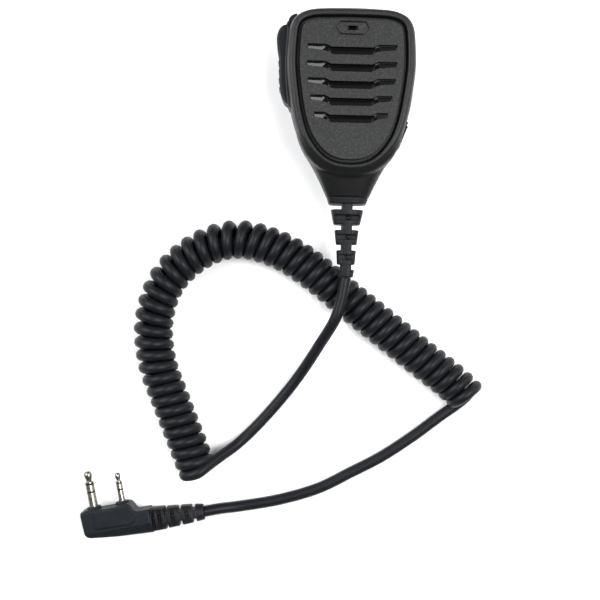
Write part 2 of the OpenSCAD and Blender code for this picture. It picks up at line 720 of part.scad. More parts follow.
module plug_shell() {
  color([0.10, 0.11, 0.12])
    at_plug(plug_turn)
      difference() {
        union() {
          translate([0, 0, -plug_z + 0.3])
            linear_extrude(10.6)
              polygon([
                [0, 5], [-4.6, 5.1], [-5.6, 5.9], [-6.2, 7.6], [-6.9, 8.6], [-7.8, 8.8], [-13.4, 8.8],
                [-19.6, 9], [-25.2, 8.9], [-27.9, 7.9], [-28.1, 6.8], [-27.9, -0.8], [-27.2, -2.2],
                [-25.6, -2.9], [-14.4, -4.2], [0, -5.1]
              ]);
          for (x = [big_pin_x, small_pin_x])
            translate([x, 4, 0]) rotate([-90, 0, 0]) cylinder(h = collar_top_y - 4, r = collar_r);
          translate([0, 0, 5.3]) linear_extrude(0.5) polygon([
            [-6.8, 7.4], [-22.2, 7.8], [-22.2, 1.2], [-8.6, 0.6], [-6.4, 1.8], [-5.6, 4]
          ]);
        }
        for (p = [[big_pin_x, 1.75], [small_pin_x, 1.25]])
          translate([p[0], 1, 0]) rotate([-90, 0, 0]) cylinder(h = 20, r = 0.8 * p[1]);
        translate([0.5, 0, 0]) rotate([0, -90, 0]) cylinder(h = 6, r = plug_core_r);
      }
}
// A piece of a pin, turned about +Y from its profile of radius and distance from the collar's top
module turned(x, profile) {
  color([0.8, 0.8, 0.78])
    at_plug(plug_turn) translate([x, collar_top_y, 0]) rotate([-90, 0, 0]) rotate_extrude() polygon(profile);
}
module pin_tip(x, r, l) {
  turned(x, [
    [0, -6], [0.32 * r, -6], [0.32 * r, tip_y * l], [r, tip_y * l], [r, straight_y * l], [0.76 * r, 0.73 * l],
    [0.76 * r, 0.79 * l], [0.95 * r, 0.86 * l], [0.9 * r, 0.91 * l], [0.25 * r, l], [0, l]
  ]);
}
module pin_ring(x, r, l) {
  turned(x, [
    [0.42 * r, -5], [0.54 * r, -5], [0.54 * r, ring_y * l], [r, ring_y * l], [r, ring_end_y * l],
    [0.42 * r, ring_end_y * l]
  ]);
}
module pin_sleeve(x, r, l) {
  turned(x, [[0.64 * r, -4], [0.8 * r, -4], [0.8 * r, 0], [r, 0], [r, sleeve_y * l],
    [0.64 * r, sleeve_y * l]]);
}
module pin_insulators(x, r, l) {
  color([0.03, 0.03, 0.03]) {
    turned(x, [
      [0.32 * r, -5.5], [0.42 * r, -5.5], [0.42 * r, ring_end_y * l], [r, ring_end_y * l], [r, tip_y * l],
      [0.32 * r, tip_y * l]
    ]);
    turned(x, [
      [0.54 * r, -4.5], [0.64 * r, -4.5], [0.64 * r, sleeve_y * l], [r, sleeve_y * l], [r, ring_y * l],
      [0.54 * r, ring_y * l]
    ]);
  }
}
module big_pin_tip() { pin_tip(big_pin_x, 1.75, big_pin_length); }
module big_pin_ring() { pin_ring(big_pin_x, 1.75, big_pin_length); }
module big_pin_sleeve() { pin_sleeve(big_pin_x, 1.75, big_pin_length); }
module big_pin_insulators() { pin_insulators(big_pin_x, 1.75, big_pin_length); }
module small_pin_tip() { pin_tip(small_pin_x, 1.25, small_pin_length); }
module small_pin_ring() { pin_ring(small_pin_x, 1.25, small_pin_length); }
module small_pin_sleeve() { pin_sleeve(small_pin_x, 1.25, small_pin_length); }
module small_pin_insulators() { pin_insulators(small_pin_x, 1.25, small_pin_length); }

front_housing();
grille_panel();
rear_housing();
case_screws();
ptt_frame();
ptt_button();
ptt_switch();
ptt_plunger();
grille_cloth();
speaker_gasket();
speaker_frame();
speaker_cone();
speaker_magnet();
mic_grommet();
mic_capsule();
circuit_board();
board_components();
board_screws();
jack_socket();
jack_cover();
jack_cover_root();
lead_wires();
cable_end();
cable_tie();
clip_insert();
clip_washer();
clip_screw();
clip_base();
clip_pin();
clip_spring();
clip_jaw();
strain_relief();
mic_tail();
curl();
plug_tail();
plug_relief();
plug_shell();
big_pin_tip();
big_pin_ring();
big_pin_sleeve();
big_pin_insulators();
small_pin_tip();
small_pin_ring();
small_pin_sleeve();
small_pin_insulators();
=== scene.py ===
"""Hand microphone with a curly cord and a two-pin plug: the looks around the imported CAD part.

Shapes are worked out in millimetres in the row frame and turned into metres when a mesh is made.
Moulded pieces are closed surfaces drawn round distance fields, so that their edges are rounded.
"""

import functools
import math

import bmesh
import bpy
import numpy as np
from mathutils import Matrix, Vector


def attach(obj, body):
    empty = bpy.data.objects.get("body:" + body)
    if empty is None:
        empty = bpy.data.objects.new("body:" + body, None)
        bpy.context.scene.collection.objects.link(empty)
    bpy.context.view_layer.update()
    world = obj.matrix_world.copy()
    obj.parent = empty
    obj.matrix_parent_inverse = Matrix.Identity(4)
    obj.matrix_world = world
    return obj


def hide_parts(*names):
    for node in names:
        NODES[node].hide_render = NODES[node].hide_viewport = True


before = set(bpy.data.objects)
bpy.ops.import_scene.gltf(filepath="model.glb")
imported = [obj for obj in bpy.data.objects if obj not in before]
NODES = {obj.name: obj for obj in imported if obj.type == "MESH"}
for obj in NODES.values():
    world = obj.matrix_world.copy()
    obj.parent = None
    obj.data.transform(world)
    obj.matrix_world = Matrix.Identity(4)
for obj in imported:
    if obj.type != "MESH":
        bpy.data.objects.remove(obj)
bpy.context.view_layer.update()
MM = 0.001

# ---- curves and frames ----


def spline(points, steps):
    """The points with each gap split into steps along a Catmull-Rom spline."""
    p = np.array(points, float)
    out = []
    for i in range(len(p) - 1):
        a, b, c, d = p[max(i - 1, 0)], p[i], p[i + 1], p[min(i + 2, len(p) - 1)]
        for s in range(steps):
            t = s / steps
            square = (2 * a - 5 * b + 4 * c - d) * t**2
            cube = (3 * b - a - 3 * c + d) * t**3
            out.append(0.5 * (2 * b + (c - a) * t + square + cube))
    return np.array(out + [p[-1]])


def lengths(points):
    """How far along the line each point is."""
    steps = np.linalg.norm(np.diff(points, axis=0), axis=1)
    return np.concatenate([[0.0], np.cumsum(steps)])


def spaced(points, step):
    """The line with points an even step apart."""
    along = lengths(points)
    at = np.linspace(0, along[-1], max(2, round(along[-1] / step) + 1))
    return np.stack([np.interp(at, along, points[:, k]) for k in range(3)], axis=1)


# ---- cord ----

CORD_D = 4.5
CURL_R = 5.75  # from the curl's middle to the middle of the wire
CURL_Z = 8.0
TURN_POINTS = 24
CURL_STEP = 0.25  # between the points of the curl's own middle line
mic_tail = [
    (0, -70.7, 20),
    (-1.5, -80, 19.6),
    (-4, -88, 18.4),
    (-9, -97, 12.5),
    (-15.5, -108, 6),
    (-22.5, -118, 2.8),
    (-32.5, -130, 2.5),
    (-41.5, -139, 3.4),
    (-49.5, -144.7, 8.6),
    (-53.6, -147.6, 12.2),
]
curl_route = [
    (-57.3, -150.3, CURL_Z),
    (-59.3, -145.5, CURL_Z),
    (-62.5, -137.5, CURL_Z),
    (-68.5, -123, CURL_Z),
    (-75, -106, CURL_Z),
    (-76.5, -89, CURL_Z),
    (-71, -72.5, CURL_Z),
    (-58, -60.5, CURL_Z),
    (-43, -56, CURL_Z),
    (-26.5, -60, CURL_Z),
    (-11.5, -69, CURL_Z),
    (2.5, -80, CURL_Z),
    (17, -91, CURL_Z),
    (30, -101, CURL_Z),
    (44, -111.5, CURL_Z),
    (51.3, -118.1, CURL_Z),
]
plug_tail = [
    (46.4, -122.2, 2.3),
    (40.5, -126.5, 2.3),
    (29.5, -135, 2.3),
    (17, -143.5, 2.3),
    (5, -150, 2.3),
    (-8.5, -157, 2.3),
    (-24.5, -162, 2.3),
    (-40.5, -165, 2.6),
    (-48, -165.8, 4.2),
    (-54.8, -166.9, 5.6),
    (-57.1, -167.3, 5.6),
]


def curl_points():
    """The wire's middle line through all the turns: it starts over the top, and ends underneath."""
    axis = spaced(spline(curl_route, 20), CURL_STEP)
    t = np.gradient(axis, axis=0)
    t /= np.linalg.norm(t, axis=1)[:, None]
    turn = np.gradient(np.unwrap(np.arctan2(t[:, 1], t[:, 0]))) / CURL_STEP
    bend = np.convolve(np.pad(np.abs(turn), 20, mode="edge"), np.full(41, 1 / 41), "valid")
    pitch = np.maximum(CORD_D * 1.005, 0.965 * CORD_D / (1 - CURL_R * bend))
    turns = np.cumsum(CURL_STEP / pitch)
    turns *= (math.floor(turns[-1]) + 0.5) / turns[-1]
    at = np.linspace(0, turns[-1], round(turns[-1] * TURN_POINTS) + 1)
    middle = np.stack([np.interp(at, turns, axis[:, k]) for k in range(3)], axis=1)
    heading = np.stack([np.interp(at, turns, t[:, k]) for k in range(3)], axis=1)
    side = np.cross(heading, (0, 0, 1))
    side /= np.linalg.norm(side, axis=1)[:, None]
    angle = math.pi / 2 + 2 * math.pi * at
    up = np.array([0.0, 0.0, 1.0])
    return middle + CURL_R * (np.cos(angle)[:, None] * side + np.sin(angle)[:, None] * up)


def cord_points():
    """The whole cord's middle line, from the head's strain relief to the plug's."""
    curl = curl_points()
    lead_in = spline(list(map(np.array, mic_tail)) + [curl[0], curl[4]], 10)[:-10]
    lead_out = spline([curl[-5], curl[-1]] + list(map(np.array, plug_tail)), 10)[10:]
    return np.concatenate([spaced(lead_in, 1.5)[:-1], curl, spaced(lead_out, 1.5)[1:]])


def curve_object(name, points, radius, material, resolution=3):
    """A round wire along one open line, with closed ends."""
    data = bpy.data.curves.new(name, "CURVE")
    data.dimensions = "3D"
    data.bevel_depth = radius * MM
    data.bevel_resolution = resolution
    data.use_fill_caps = True
    line = data.splines.new("POLY")
    line.points.add(len(points) - 1)
    flat = np.ones((len(points), 4))
    flat[:, :3] = np.asarray(points) * MM
    line.points.foreach_set("co", flat.ravel())
    line.use_smooth = True
    data.materials.append(material)
    obj = bpy.data.objects.new(name, data)
    bpy.context.scene.collection.objects.link(obj)
    return obj


# ---- finishes ----


def put(tree, socket, value):
    """Sets an input of a shader node, or links it where the value is another node's output."""
    if isinstance(value, bpy.types.NodeSocket):
        tree.links.new(value, socket)
    else:
        socket.default_value = value


def add(tree, kind, **inputs):
    """A shader node of a kind, with the inputs given by name."""
    node = tree.nodes.new(kind)
    for name, value in inputs.items():
        put(tree, node.inputs[name.replace("_", " ")], value)
    return node


def mixed(tree, factor, a, b):
    """A colour between a and b."""
    node = tree.nodes.new("ShaderNodeMix")
    node.data_type = "RGBA"
    for index, value in ((0, factor), (6, a), (7, b)):
        put(tree, node.inputs[index], value)
    return node.outputs[2]


def ramp(tree, value, low, high, to_low, to_high):
    """A value carried over from one range to another, and held at its ends."""
    limits = dict(From_Min=low, From_Max=high, To_Min=to_low, To_Max=to_high)
    return add(tree, "ShaderNodeMapRange", Value=value, **limits).outputs["Result"]


def place(tree, stretch=(1, 1, 1)):
    """Where the surface is, in the row frame."""
    where = add(tree, "ShaderNodeTexCoord").outputs["Object"]
    return add(tree, "ShaderNodeMapping", Vector=where, Scale=stretch).outputs["Vector"]


def noise(tree, waves, detail=3.0, stretch=(1, 1, 1)):
    """Noise with so many waves a millimetre."""
    node = add(tree, "ShaderNodeTexNoise", Vector=place(tree, stretch), Scale=waves / MM, Detail=detail)
    return node.outputs["Fac"]


def colour(rgb, gain=1.0, lift=0.0):
    """An opaque colour, made lighter or darker."""
    return tuple(min(1.0, c * gain + lift) for c in rgb) + (1.0,)


def finish(
    name, rgb, rough, grain=2.0, depth=0.01, metal=0.0, patch=0.15, speckle=0.2, wear=0.3, stretch=(1, 1, 1),
    relief=None, sheen=0.0, specular=0.3, smooth_and_shaded_below=None,
):
    """A material with mottled colour, uneven gloss, a fine grain, and edges rubbed lighter.

    grain is in waves a millimetre and depth in millimetres; relief, if given, makes the bump's height.
    Under a height, given as (height in millimetres, share of colour and of bump that is left, roughness),
    the colour is darkened as painted shade, and the bump and roughness change for a smoother moulding.
    """
    material = bpy.data.materials.new(name)
    material.use_nodes = True
    tree = material.node_tree
    shader = tree.nodes["Principled BSDF"]
    fine = noise(tree, grain, 2.0, stretch)
    mottle = ramp(tree, noise(tree, 0.12, 4.0), 0.35, 0.65, 0, 1)
    base = mixed(tree, mottle, colour(rgb, 1 - patch), colour(rgb, 1 + patch))
    base = mixed(tree, ramp(tree, fine, 0.5, 0.72, 0, speckle), base, colour(rgb, 1.9, 0.004))
    if wear:
        edges = add(tree, "ShaderNodeNewGeometry").outputs["Pointiness"]
        base = mixed(tree, ramp(tree, edges, 0.53, 0.62, 0, wear), base, colour(rgb, 1.7, 0.008))
    gloss = ramp(tree, noise(tree, 0.7, 3.0, stretch), 0.3, 0.7, rough * 0.86, min(1.0, rough * 1.14))
    strength = 1.0
    if smooth_and_shaded_below:
        level, left, low_rough = smooth_and_shaded_below
        height = add(tree, "ShaderNodeSeparateXYZ", Vector=place(tree)).outputs["Z"]
        upper = ramp(tree, height, (level - 0.12) * MM, level * MM, 0, 1)
        strength = ramp(tree, upper, 0, 1, left, 1)
        # Painted shade: under the level the colour is darkened to the given share
        base = mixed(tree, upper, colour(rgb, left), base)
        blend = tree.nodes.new("ShaderNodeMix")
        for index, value in ((0, upper), (2, low_rough), (3, gloss)):
            put(tree, blend.inputs[index], value)
        gloss = blend.outputs[0]
    put(tree, shader.inputs["Base Color"], base)
    put(tree, shader.inputs["Roughness"], gloss)
    shader.inputs["Metallic"].default_value = metal
    shader.inputs["Specular IOR Level"].default_value = specular
    if sheen:
        shader.inputs["Sheen Weight"].default_value = sheen
    height = fine if relief is None else relief(tree)
    bump = add(tree, "ShaderNodeBump", Strength=strength, Distance=depth * MM, Height=height)
    put(tree, shader.inputs["Normal"], bump.outputs["Normal"])
    return material


def woven(tree):
    """Threads over and under each other, about 1 mm apart: the texture repeats every 0.314 / scale."""
    scale = 1 / (0.5 * MM) / 6.28
    across, along = (
        add(tree, "ShaderNodeTexWave", Vector=place(tree, s), Scale=scale, Distortion=0.4)
        for s in ((1, 0, 0), (0, 1, 0))
    )
    node = tree.nodes.new("ShaderNodeMath")
    node.operation = "MULTIPLY"
    put(tree, node.inputs[0], across.outputs["Fac"])
    put(tree, node.inputs[1], ramp(tree, along.outputs["Fac"], 0, 1, 1, 0))
    return node.outputs["Value"]


def cells(waves):
    """A relief of rounded cells, for foam and sintered ferrite."""

    def relief(tree):
        """The height at each place: its distance from the middle of its cell."""
        node = add(tree, "ShaderNodeTexVoronoi", Vector=place(tree), Scale=waves / MM)
        return node.outputs["Distance"]

    return relief


def rings(tree):
    """Ribs 2 mm apart for the speaker's cone; their rings lie about the swivel axis, 3 mm off its own."""
    node = tree.nodes.new("ShaderNodeTexWave")
    node.wave_type = "RINGS"
    node.rings_direction = "Z"
    put(tree, node.inputs["Vector"], place(tree))
    put(tree, node.inputs["Scale"], 0.16 / MM)
    return node.outputs["Fac"]


FINISH = {
    slot: finish(slot, *values[0], **values[1])
    for slot, values in {
        # The housing's colour is darkened under its ridge's crest: painted shade on the neck, flanks, groove
        # and the button's frame
        "housing_plastic": (
            ((0.0105, 0.0110, 0.0120), 0.45),
            dict(grain=1.4, depth=0.05, speckle=0.8, specular=0.2, smooth_and_shaded_below=(34.75, 0.4, 0.42)),
        ),
        # The grille's colour is darkened under the plate's face: painted shade in the slots and down the
        # plate's edge
        "grille_plastic": (
            ((0.0115, 0.0118, 0.0119), 0.56),
            dict(grain=1.5, depth=0.11, speckle=1.4, patch=0.08, specular=0.22, smooth_and_shaded_below=(34.93, 0.16, 0.27)),
        ),
        "rear_plastic": (
            ((0.0043, 0.0045, 0.0049), 0.44),
            dict(grain=1.4, depth=0.03, speckle=0.5, specular=0.2),
        ),
        "button_plastic": (((0.0050, 0.0060, 0.0090), 0.42), dict(grain=1.3, depth=0.015, specular=0.16)),
        "rubber": (((0.0045, 0.0045, 0.0052), 0.6), dict(grain=2.4, depth=0.012, specular=0.16)),
        "cord_jacket": (((0.0050, 0.0058, 0.0074), 0.42), dict(grain=1.2, depth=0.01, wear=0, specular=0.14)),
        "relief_rubber": (((0.0055, 0.006, 0.0075), 0.5), dict(grain=2.0, depth=0.012, specular=0.16)),
        "plug_plastic": (
            ((0.0050, 0.0068, 0.0088), 0.48),
            dict(grain=1.6, depth=0.02, speckle=0.35, specular=0.14),
        ),
        "pin_nickel": (
            ((0.23, 0.22, 0.195), 0.26),
            dict(grain=3, depth=0.002, metal=1, speckle=0.05, wear=0),
        ),
        "pin_insulator": (((0.006, 0.006, 0.006), 0.6), dict(grain=3, depth=0.004, specular=0.05)),
        "steel": (((0.56, 0.56, 0.57), 0.28), dict(grain=2.5, depth=0.004, metal=1, speckle=0.1)),
        "brass": (((0.70, 0.52, 0.24), 0.3), dict(grain=3, depth=0.004, metal=1, speckle=0.1)),
        "nylon": (((0.62, 0.61, 0.56), 0.42), dict(grain=1.6, depth=0.01)),
        "speaker_steel": (((0.42, 0.42, 0.40), 0.38), dict(grain=2, depth=0.01, metal=1)),
        "magnet_ferrite": (((0.045, 0.045, 0.048), 0.55), dict(depth=0.06, relief=cells(1.2))),
        "speaker_paper": (((0.035, 0.033, 0.030), 0.9), dict(grain=2.5, depth=0.25, relief=rings, sheen=0.1)),
        # The cloth's colour is near black, darker than the cloth itself: painted shade where it lies deep
        # under the slits
        "cloth": (((0.0025, 0.0025, 0.0028), 0.95), dict(depth=0.2, relief=woven, specular=0.05)),
        "foam": (((0.02, 0.02, 0.021), 0.95), dict(depth=0.3, relief=cells(2.2))),
        "capsule_metal": (((0.66, 0.65, 0.62), 0.3), dict(grain=3, depth=0.003, metal=1)),
        "board_laminate": (((0.015, 0.085, 0.035), 0.32), dict(grain=1, depth=0.02, patch=0.25)),
        "component_black": (((0.014, 0.014, 0.015), 0.42), dict(grain=3, depth=0.008)),
        "switch_red": (((0.42, 0.03, 0.02), 0.35), dict(grain=2, depth=0.006)),
        "wire_red": (((0.36, 0.02, 0.015), 0.4), dict(grain=1.5, depth=0.01)),
    }.items()
}
for node in NODES.values():
    for held in node.material_slots:
        held.material = FINISH.get(held.material.name.split(".")[0], held.material)


# ---- shapes as distances in millimetres, negative inside ----


def smooth_min(a, b, k):
    """The union of two shapes, with the corner between them filled by about k."""
    h = np.clip(0.5 + 0.5 * (b - a) / k, 0, 1)
    return b + (a - b) * h - k * h * (1 - h)


def common(a, b, k=0.3):
    """What two shapes share, with the edge between them rounded by about k."""
    return -smooth_min(-a, -b, k)


def cut(a, b, k=0.3):
    """Shape a without shape b, with the new edge rounded by about k."""
    return common(a, -b, k)


def joined(*shapes):
    """All the shapes together, with sharp corners between them."""
    return functools.reduce(np.minimum, shapes)


def rounded(sides, r):
    """A shape bounded by several distances, with its outer corners rounded by r."""
    sides = [s + r for s in sides]
    outside = np.sqrt(sum(np.maximum(s, 0) ** 2 for s in sides))
    return outside + np.minimum(functools.reduce(np.maximum, sides), 0) - r


def between(v, low, high):
    """A slab from low to high."""
    return np.abs(v - (low + high) / 2) - (high - low) / 2


def block(x, y, z, low, high, r=0.0):
    """A box between two corners, with its edges rounded by r."""
    return rounded([between(v, a, b) for v, a, b in zip((x, y, z), low, high)], r)


def rod(u, v, w, low, high, radius, r=0.0):
    """A cylinder about u = v = 0, from low to high along w."""
    return rounded([np.hypot(u, v) - radius, between(w, low, high)], r)


def outline(points):
    """The distance from a closed outline, as a function of two coordinates."""
    corners = np.array(points, float)
    ends = np.roll(corners, -1, axis=0)

    def distance(x, y):
        """How far a point is from the outline: negative inside it."""
        nearest = np.inf
        inside = False
        for (ax, ay), (bx, by) in zip(corners, ends):
            ex, ey = bx - ax, by - ay
            t = np.clip(((x - ax) * ex + (y - ay) * ey) / (ex * ex + ey * ey), 0, 1)
            nearest = np.minimum(nearest, (x - ax - t * ex) ** 2 + (y - ay - t * ey) ** 2)
            if ay != by:
                crosses = (ay > y) != (by > y)
                inside = inside ^ (crosses & (x < ax + (y - ay) / (by - ay) * ex))
        return np.where(inside, -1, 1) * np.sqrt(nearest)

    return distance


def both_sides(half):
    """A whole outline from its right half, which starts at the top."""
    return half + [(-x, y) for x, y in reversed(half) if x > 0.001]


def turned(x, y, spot, degrees):
    """The coordinates in a frame at spot, turned about Z."""
    c, s = math.cos(math.radians(degrees)), math.sin(math.radians(degrees))
    dx, dy = x - spot[0], y - spot[1]
    return dx * c + dy * s, dy * c - dx * s


def unpinched(values):
    """The field on its grid, filled in where two solid corners touch only across a diagonal.

    This takes away most edges that four faces share, and can leave a closed bubble of a step or so.
    """
    values = np.array(values)
    just_inside = -0.01
    for _ in range(8):
        pinches = 0
        for a, b in ((0, 1), (0, 2), (1, 2)):
            corners = []
            for i, j in ((0, 0), (1, 1), (0, 1), (1, 0)):
                place = [slice(None)] * 3
                place[a] = slice(i, i - 1 or None)
                place[b] = slice(j, j - 1 or None)
                corners.append(values[tuple(place)])
            solid = [corner < 0 for corner in corners]
            pinched = (solid[0] == solid[1]) & (solid[2] == solid[3]) & (solid[0] != solid[2])
            for corner in corners:
                corner[pinched & (corner >= 0)] = just_inside
            pinches += int(pinched.sum())
        if not pinches:
            break
    return values


def surface_net(field, low, high, step):
    """The surface where the field is nought: points in millimetres, and faces of four corners."""
    counts = [int(math.ceil((b - a) / s)) + 1 for a, b, s in zip(low, high, step)]
    axes = [a + s * np.arange(n) for a, n, s in zip(low, counts, step)]
    values = unpinched(np.broadcast_to(field(*np.meshgrid(*axes, indexing="ij", sparse=True)), counts))
    inside = values < 0
    stride = np.array([counts[1] * counts[2], counts[2], 1])
    quads, crossings = [], []
    round_the_edge = ((0, 0), (1, 0), (1, 1), (0, 1))
    for a in range(3):
        near = tuple(slice(0, -1) if k == a else slice(None) for k in range(3))
        far = tuple(slice(1, None) if k == a else slice(None) for k in range(3))
        at = np.argwhere(inside[near] != inside[far])
        ahead = at + np.eye(3, dtype=int)[a]
        v0, v1 = values[tuple(at.T)], values[tuple(ahead.T)]
        point = at.astype(float)
        point[:, a] += v0 / (v0 - v1)
        across = np.eye(3, dtype=int)[[(a + 1) % 3, (a + 2) % 3]]
        quad = np.stack([(at - i * across[0] - j * across[1]) @ stride for i, j in round_the_edge], 1)
        leaving = ~inside[tuple(at.T)]
        quad[leaving] = quad[leaving][:, ::-1]
        quads.append(quad)
        crossings.append(np.repeat(point, 4, axis=0))
    crossings = np.concatenate(crossings)
    _, index = np.unique(np.concatenate(quads).ravel(), return_inverse=True)
    share = np.bincount(index)
    points = np.stack([np.bincount(index, crossings[:, k]) / share for k in range(3)], axis=1)
    return points * np.array(step) + np.array(low, float), index.reshape(-1, 4)


def pulled_in(field, points, reach):
    """The points moved towards the field's surface, in two steps of at most reach each."""
    nudge = 0.02
    for _ in range(2):
        value = field(*points.T)
        slope = np.stack([(field(*(points + nudge * e).T) - value) / nudge for e in np.eye(3)], axis=1)
        move = -slope * (value / np.maximum((slope**2).sum(axis=1), 0.1))[:, None]
        size = np.linalg.norm(move, axis=1)
        points = points + move * np.minimum(1, reach / np.maximum(size, 1e-9))[:, None]
    return points


def mesh_piece(name, points, faces, slot, body, *nodes):
    """A smooth mesh from points in millimetres, riding on a body in place of its CAD nodes."""
    mesh = bpy.data.meshes.new(name)
    if isinstance(faces, np.ndarray):
        mesh.vertices.add(len(points))
        mesh.vertices.foreach_set("co", (points * MM).astype(np.float32).ravel())
        mesh.loops.add(faces.size)
        mesh.loops.foreach_set("vertex_index", faces.astype(np.int32).ravel())
        mesh.polygons.add(len(faces))
        mesh.polygons.foreach_set("loop_start", np.arange(0, faces.size, faces.shape[1], dtype=np.int32))
        mesh.update(calc_edges=True)
    else:
        mesh.from_pydata([[v * MM for v in p] for p in points], [], faces)
    mesh.polygons.foreach_set("use_smooth", np.ones(len(mesh.polygons), bool))
    mesh.materials.append(FINISH[slot])
    obj = bpy.data.objects.new(name, mesh)
    bpy.context.scene.collection.objects.link(obj)
    return settled(obj, slot, body, *nodes)


def settled(obj, slot, body, *nodes):
    """The piece attached to its body, with the CAD nodes that it stands for hidden; slot is not used."""
    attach(obj, body)
    if nodes:
        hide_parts(*nodes)
    return obj


def moulding(name, field, low, high, step, slot, body, *nodes, at=None):
    """A piece drawn round a field between two corners; at is the spot and angle of its own frame."""
    steps = step if isinstance(step, tuple) else (step,) * 3
    points, faces = surface_net(field, low, high, steps)
    points = pulled_in(field, points, 0.6 * min(steps))
    if at:
        spot, degrees = at
        x, y = turned(points[:, 0], points[:, 1], (0, 0), -degrees)
        points = np.stack([x + spot[0], y + spot[1], points[:, 2] + spot[2]], axis=1)
    return mesh_piece(name, points, faces, slot, body, *nodes)


# ---- the head's housings ----

PARTING = 22
WALL = 2.0
NECK_END = -39.6
CAVITY_END = -37.9
SPEAKER_Y = 3
MIC_Y = 23.9
head_half = [
    (4, 34.15), (10, 33.9), (15.5, 33.2), (20.2, 31.4), (23, 28.4), (24.2, 24), (24.9, 17), (25, 11),
    (24.5, 2), (23.2, -6), (21, -13.5), (18.2, -21), (14.8, -26.6), (12.3, -31), (10.2, -35.3),
    (8.2, NECK_END),
]
panel_half = [
    (0, 27.4), (8, 27.3), (13, 27.1), (16.4, 26.4), (18.7, 24.8), (19.5, 21), (19.9, 12), (19.3, 4),
    (17.6, -7), (15.5, -14.5), (13.3, -18.7), (10.5, -22.2), (7.2, -24.7), (3.6, -25.9), (0, -26.2),
]
front_heights = [
    (-39.6, 27.5), (-36, 29), (-32, 30.6), (-27, 32), (-20, 32.8), (60, 32.8),
]
back_heights = [(-39.6, 12.6), (-36, 12), (-30, 11), (-24, 10.5), (60, 10.5)]
ptt_notch = ((-32, -6, 15.25), (-20.9, 31.2, 28.75))
case_screw_places = [(17, 25), (-17, 25), (11, -22.5), (-11, -22.5)]
board_screw_places = [(16, 18), (-16, 18), (0, -24)]
JACK_SPOT = (20, -16.5, 21.5)
JACK_TURN = -20.7

head_smooth = [tuple(p) for p in spline(np.array([(x, y, 0) for x, y in head_half]), 3)[:, :2]]
panel_smooth = [tuple(p) for p in spline(np.array([(x, y, 0) for x, y in panel_half]), 3)[:, :2]]
# The neck's sides are carried past its end, so that the end itself doesn't round the sections
head_plan = outline(both_sides(head_smooth + [(5.5, -45.4)]))
panel_plan = outline(both_sides(panel_smooth))
shield_profile = outline([
    (-30, 24), (-30, 32.7), (1.15, 32.7), (1.35, 33.8), (1.65, 34.7), (2, 34.98), (2.6, 35.05), (3.3, 34.95),
    (3.8, 34.6), (4.2, 33.9), (4.6, 32.6), (4.9, 31), (5.05, 28), (5.05, 24),
])
# Below the grille the ridge is narrower and its outer flank slopes further out
foot_profile = outline([
    (-30, 24), (-30, 32.7), (1.15, 32.7), (1.4, 33.8), (1.9, 34.75), (2.4, 35), (2.8, 34.85), (3.5, 34.2),
    (4.5, 33.4), (5.4, 32.7), (5.9, 31.7), (6.1, 30), (6.1, 24),
])


def half_width(y):
    """The head's half width at its parting line, for the sections' shape."""
    side = np.array([p for p in head_smooth if p[1] < 11][::-1])
    return np.interp(y, side[:, 1], side[:, 0], right=25.0)


def body_half(x, y, z, heights, power):
    """One half of the head's body, above or below its parting line, as if it had no neck end."""
    width = half_width(y)
    u = np.maximum(0, 1 + head_plan(x, y) / width)
    table = np.array(heights, float)
    h = np.abs(np.interp(y, table[:, 0], table[:, 1]) - PARTING)
    rise = np.abs(z - PARTING)
    r = np.maximum((u**power + (rise / h) ** power) ** (1 / power), 0.01)
    return np.hypot(width * u, rise) * (1 - 1 / r)


def jack_frame(x, y, z):
    """The coordinates in the jack's frame: outwards, along the head's side, and up."""
    u, v = turned(x, y, JACK_SPOT, JACK_TURN)
    return u, v, z - JACK_SPOT[2]


def head_openings(x, y, z):
    """The openings that both housings share: for the button, the jack and the strain relief."""
    u, v, w = jack_frame(x, y, z)
    return joined(
        block(x, y, z, *ptt_notch),
        block(u, v, w, (-1, -6.2, -4.9), (4, 6.8, 4.9), 0.6),
        rod(v, w, u, -6, 2, 3.1),
        block(u, v, w, (-2.6, 6.3, -2.6), (2, 8.1, 2.6)),
        block(x, y, z, (-4.7, -41, 15.3), (4.7, -36, 24.7)),
    )


def posts(x, y, z, places, low, high, radius):
    """Upright cylinders at several places."""
    return joined(*(rod(x - px, y - py, z, low, high, radius) for px, py in places))


def front_shell(x, y, z):
    """The front housing: its ridge round the grille, its hollow, screw posts and openings."""
    body = body_half(x, y, z, front_heights, 3.4)
    p = panel_plan(x, y)
    foot = np.clip((-15 - y) / 9, 0, 1)
    ridge = shield_profile(p, z) * (1 - foot) + foot_profile(p, z) * foot
    shape = smooth_min(body, ridge, 0.7)
    shape = common(shape, PARTING - z, 0.35)
    shape = common(shape, NECK_END - y, 0.5)
    hollow = joined(
        rounded([body + WALL, CAVITY_END - y], 0.0),
        rounded([p - 0.8, z - 31], 0.3),
    )
    shape = cut(shape, hollow, 0.3)
    shape = joined(shape, posts(x, y, z, case_screw_places, PARTING + 0.2, 31.5, 3))
    shape = cut(shape, joined(
        rod(x, y - SPEAKER_Y, z, 28, 34, 14.5),
        rod(x, y - SPEAKER_Y, z, 32.6, 34, 17),
        rod(x, y - MIC_Y, z, 30, 34, 1.4),
        posts(x, y, z, case_screw_places, 20, 28.2, 1.3),
    ), 0.15)
    return cut(shape, head_openings(x, y, z), 0.3)


